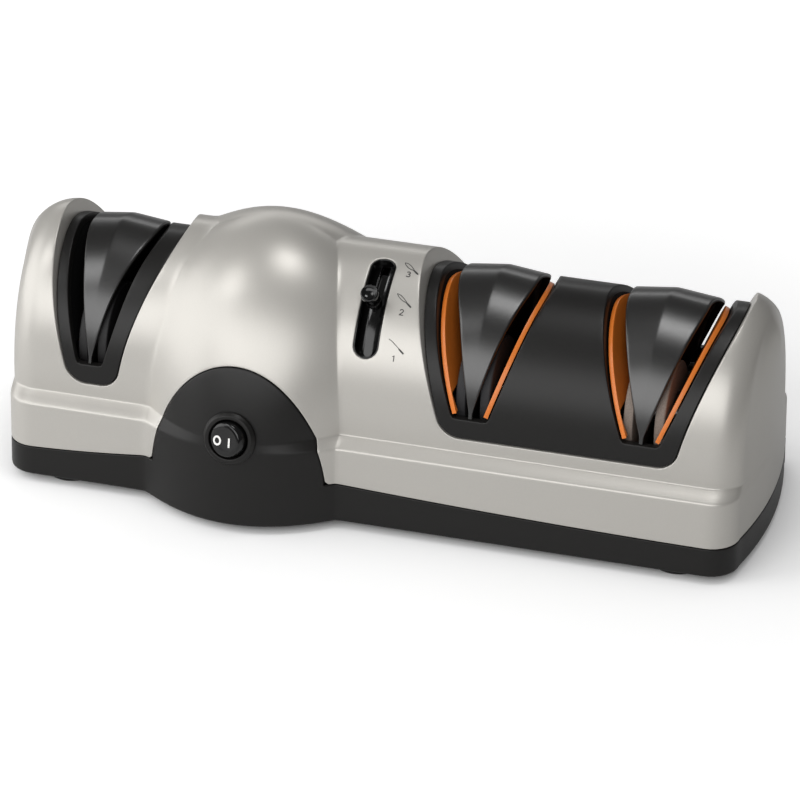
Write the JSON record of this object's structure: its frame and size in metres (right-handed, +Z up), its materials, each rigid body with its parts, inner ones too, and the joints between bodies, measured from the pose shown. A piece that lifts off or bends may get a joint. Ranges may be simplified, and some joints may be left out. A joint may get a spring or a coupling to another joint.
{
  "type": "electric knife sharpener",
  "caption": "Bench-top electric knife sharpener: long arched housing on a black base, V-slot stages with spring wheels, domed motor cover with rocker switch, blade selector.",
  "frame": {"origin": "middle of the footprint, on the surface that the feet stand on", "axes": "+X along the body towards stages 1 and 2 (to the right, seen from the switch side), +Y to the rear, +Z up; the switch side faces -Y"},
  "size_m": [0.34, 0.1357, 0.118],
  "materials": {
    "silver": "satin metallic paint on plastic",
    "black": "satin black",
    "gloss_black": "polished black",
    "orange": "satin orange",
    "abrasive": "diamond grit on a metal disc",
    "steel": "ground steel",
    "zinc": "dull pressed metal",
    "magnet": "ferrite",
    "copper": "worn copper",
    "bronze": "sintered bronze",
    "nylon": "natural nylon",
    "rubber": "matt black rubber",
    "board": "green circuit board"
  },
  "bodies": {
    "casing": {"base_pan": "black", "upper_housing": "silver", "stage_3_insert": "black", "stage_1_2_insert": "black", "hood_1": "black", "hood_2": "black", "hood_3": "black", "rod_bracket": "nylon", "bearing_bracket_left_end": "zinc", "bearing_bracket_middle": "zinc", "bearing_bracket_right_end": "zinc", "bearing_bush_left_end": "bronze", "bearing_bush_middle": "bronze", "bearing_bush_right_end": "bronze", "motor_can": "zinc", "motor_endbell_left": "zinc", "motor_endbell_right": "zinc", "motor_magnet_upper": "magnet", "motor_magnet_lower": "magnet", "motor_cradle": "nylon", "selector_track": "gloss_black", "selector_pin": "steel", "selector_yoke": "nylon", "switch_bezel": "black", "switch_body": "black", "rubber_foot_1": "rubber", "rubber_foot_2": "rubber", "rubber_foot_3": "rubber", "rubber_foot_4": "rubber", "base_screw_1": "steel", "base_screw_2": "steel", "base_screw_3": "steel", "base_screw_4": "steel", "cord_gland": "rubber", "rectifier_board": "board"},
    "drive": {"drive_shaft": "steel", "motor_rotor": "steel", "motor_commutator": "copper", "motor_fan": "nylon", "wheel_1_left": "abrasive", "wheel_1_right": "abrasive", "wheel_2_left": "abrasive", "wheel_2_right": "abrasive", "wheel_3_left": "abrasive", "wheel_3_right": "abrasive", "wheel_spring_1": "steel", "wheel_spring_2": "steel", "wheel_spring_3": "steel"},
    "selector": {"selector_lever": "steel", "selector_knob": "gloss_black", "selector_cam": "steel"},
    "left_guides": {"guide_1_left": "orange", "guide_2_left": "orange", "guide_rod_left": "steel"},
    "right_guides": {"guide_1_right": "orange", "guide_2_right": "orange", "guide_rod_right": "steel"},
    "rocker": {"switch_rocker": "gloss_black"}
  },
  "joints": [
    {"name": "drive_spin", "type": "hinge", "parent": "casing", "child": "drive", "pos_m": [0, -0.01295, 0.06], "axis": [1, 0, 0], "continuous": true},
    {"name": "selector_swing", "type": "hinge", "parent": "casing", "child": "selector", "pos_m": [-0.003, 0.01833, 0.05327], "axis": [1, 0, 0], "range_deg": [-17.5, 17.5]},
    {"name": "left_guide_slide", "type": "slide", "parent": "casing", "child": "left_guides", "axis": [1, 0, 0], "range_m": [-0.00051, 0.00051]},
    {"name": "right_guide_slide", "type": "slide", "parent": "casing", "child": "right_guides", "axis": [1, 0, 0], "range_m": [-0.00051, 0.00051]},
    {"name": "rocker_tilt", "type": "hinge", "parent": "casing", "child": "rocker", "pos_m": [-0.055, -0.06226, 0.044], "axis": [0, 0.2465, 0.9691], "range_deg": [0, 30]}
  ],
  "couplings": [
    {"joint": "left_guide_slide", "follows": "selector_swing", "m_per_rad": 0.001637},
    {"joint": "right_guide_slide", "follows": "selector_swing", "m_per_rad": -0.001637}
  ]
}
